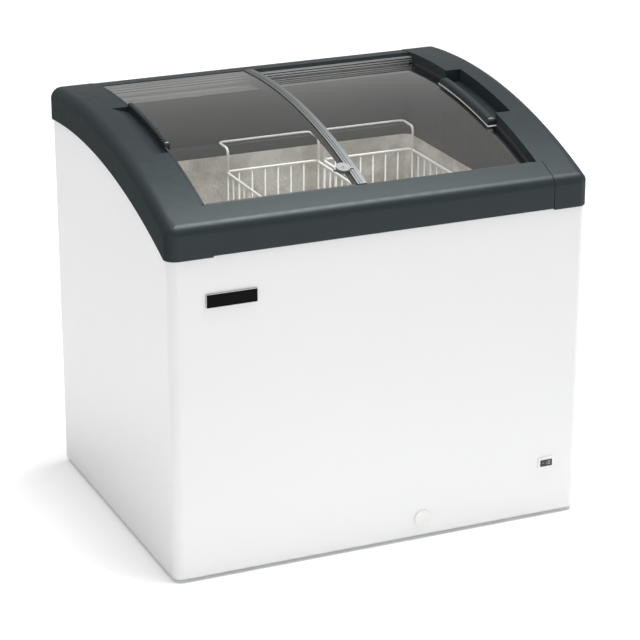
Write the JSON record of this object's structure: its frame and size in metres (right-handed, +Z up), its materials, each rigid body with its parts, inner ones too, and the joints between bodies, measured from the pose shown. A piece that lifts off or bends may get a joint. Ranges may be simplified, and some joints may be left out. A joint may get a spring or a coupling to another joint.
{
  "type": "chest freezer",
  "caption": "Display chest freezer with a white cabinet, dark curved rim, sliding curved glass lids with pull handles, hanging wire baskets, display and drain outlet.",
  "frame": {"origin": "centre of the footprint, on the floor under the feet", "axes": "+X to the right as a shopper faces the front, +Y to the back, +Z up"},
  "size_m": [1.008, 0.768, 0.9539],
  "materials": {
    "white_paint": "gloss",
    "back_sheet": "satin",
    "galvanised": "satin",
    "foot_rubber": "matte",
    "foam": "matte",
    "liner": "satin",
    "canopy_plastic": "satin",
    "ledge_plastic": "satin",
    "track_alloy": "satin",
    "seal_rubber": "matte",
    "badge_black": "gloss",
    "white_plastic": "satin",
    "display_black": "gloss",
    "black_paint": "gloss",
    "fin_alloy": "satin",
    "copper": "satin",
    "black_plastic": "matte",
    "grille_plastic": "matte",
    "screw_steel": "satin",
    "lid_glass": "gloss",
    "mullion_alloy": "satin",
    "handle_plastic": "satin",
    "lock_zinc": "satin",
    "pad_plastic": "satin",
    "coated_wire": "gloss"
  },
  "bodies": {
    "cabinet": {"outer_wrap": "white_paint", "back_panel": "back_sheet", "base_pan": "galvanised", "feet": "foot_rubber", "insulation_front": "foam", "insulation_rear": "foam", "insulation_left": "foam", "insulation_right": "foam", "insulation_floor": "foam", "inner_liner": "liner", "tub_rim": "ledge_plastic", "side_arch_left": "ledge_plastic", "side_arch_right": "ledge_plastic", "front_riser": "ledge_plastic", "rear_riser": "ledge_plastic", "end_cap_left": "canopy_plastic", "end_cap_right": "canopy_plastic", "front_rail": "canopy_plastic", "rear_rail": "canopy_plastic", "front_glass_track": "ledge_plastic", "rear_glass_track": "track_alloy", "edge_seal": "seal_rubber", "badge_plate": "badge_black", "display_bezel": "white_plastic", "display_lens": "display_black", "thermostat_body": "black_plastic", "drain_tube": "white_plastic", "compressor": "black_paint", "compressor_mounts": "foot_rubber", "condenser": "fin_alloy", "discharge_pipe": "copper", "suction_pipe": "copper", "filter_drier": "copper", "fan_shroud": "black_plastic", "fan_motor": "black_plastic", "fan_bracket": "galvanised", "evaporator": "copper", "cable_gland": "seal_rubber", "rear_grille": "grille_plastic", "side_grille": "grille_plastic", "panel_screws": "screw_steel"},
    "lid_left": {"left_glass": "lid_glass", "left_trim": "canopy_plastic", "mullion_trim": "mullion_alloy", "left_handle": "handle_plastic", "left_runners": "black_plastic", "lock_housing": "lock_zinc"},
    "lock_plug": {"lock_plug": "lock_zinc"},
    "lid_right": {"right_glass": "lid_glass", "right_inner_trim": "mullion_alloy", "right_handle": "handle_plastic", "handle_pad": "pad_plastic", "right_runners": "black_plastic"},
    "basket_left": {"basket_left": "coated_wire"},
    "basket_right": {"basket_right": "coated_wire"},
    "drain_cap": {"drain_cap": "white_plastic"},
    "floor_plug": {"floor_plug": "seal_rubber"},
    "fan_blade": {"fan_blade": "fin_alloy"}
  },
  "joints": [
    {"name": "left_lid_slide", "type": "slide", "parent": "cabinet", "child": "lid_left", "axis": [1, 0, 0], "range_m": [0, 0.4]},
    {"name": "lock_turn", "type": "hinge", "parent": "lid_left", "child": "lock_plug", "pos_m": [-0.048, -0.262, 0.86616], "axis": [0, -0.3206, 0.9472], "range_deg": [0, 90]},
    {"name": "right_lid_slide", "type": "slide", "parent": "cabinet", "child": "lid_right", "axis": [-1, 0, 0], "range_m": [0, 0.34]},
    {"name": "left_basket_slide", "type": "slide", "parent": "cabinet", "child": "basket_left", "axis": [-1, 0, 0], "range_m": [0, 0.27]},
    {"name": "right_basket_lift", "type": "slide", "parent": "cabinet", "child": "basket_right", "axis": [0, 0, 1], "range_m": [0, 0.018]},
    {"name": "drain_cap_pull", "type": "slide", "parent": "cabinet", "child": "drain_cap", "axis": [0, -1, 0], "range_m": [0, 0.045]},
    {"name": "floor_plug_lift", "type": "slide", "parent": "cabinet", "child": "floor_plug", "axis": [0, 0, 1], "range_m": [0, 0.03]},
    {"name": "fan_spin", "type": "hinge", "parent": "cabinet", "child": "fan_blade", "pos_m": [0.36, -0.176, 0.13], "axis": [0, 1, 0], "continuous": true}
  ]
}
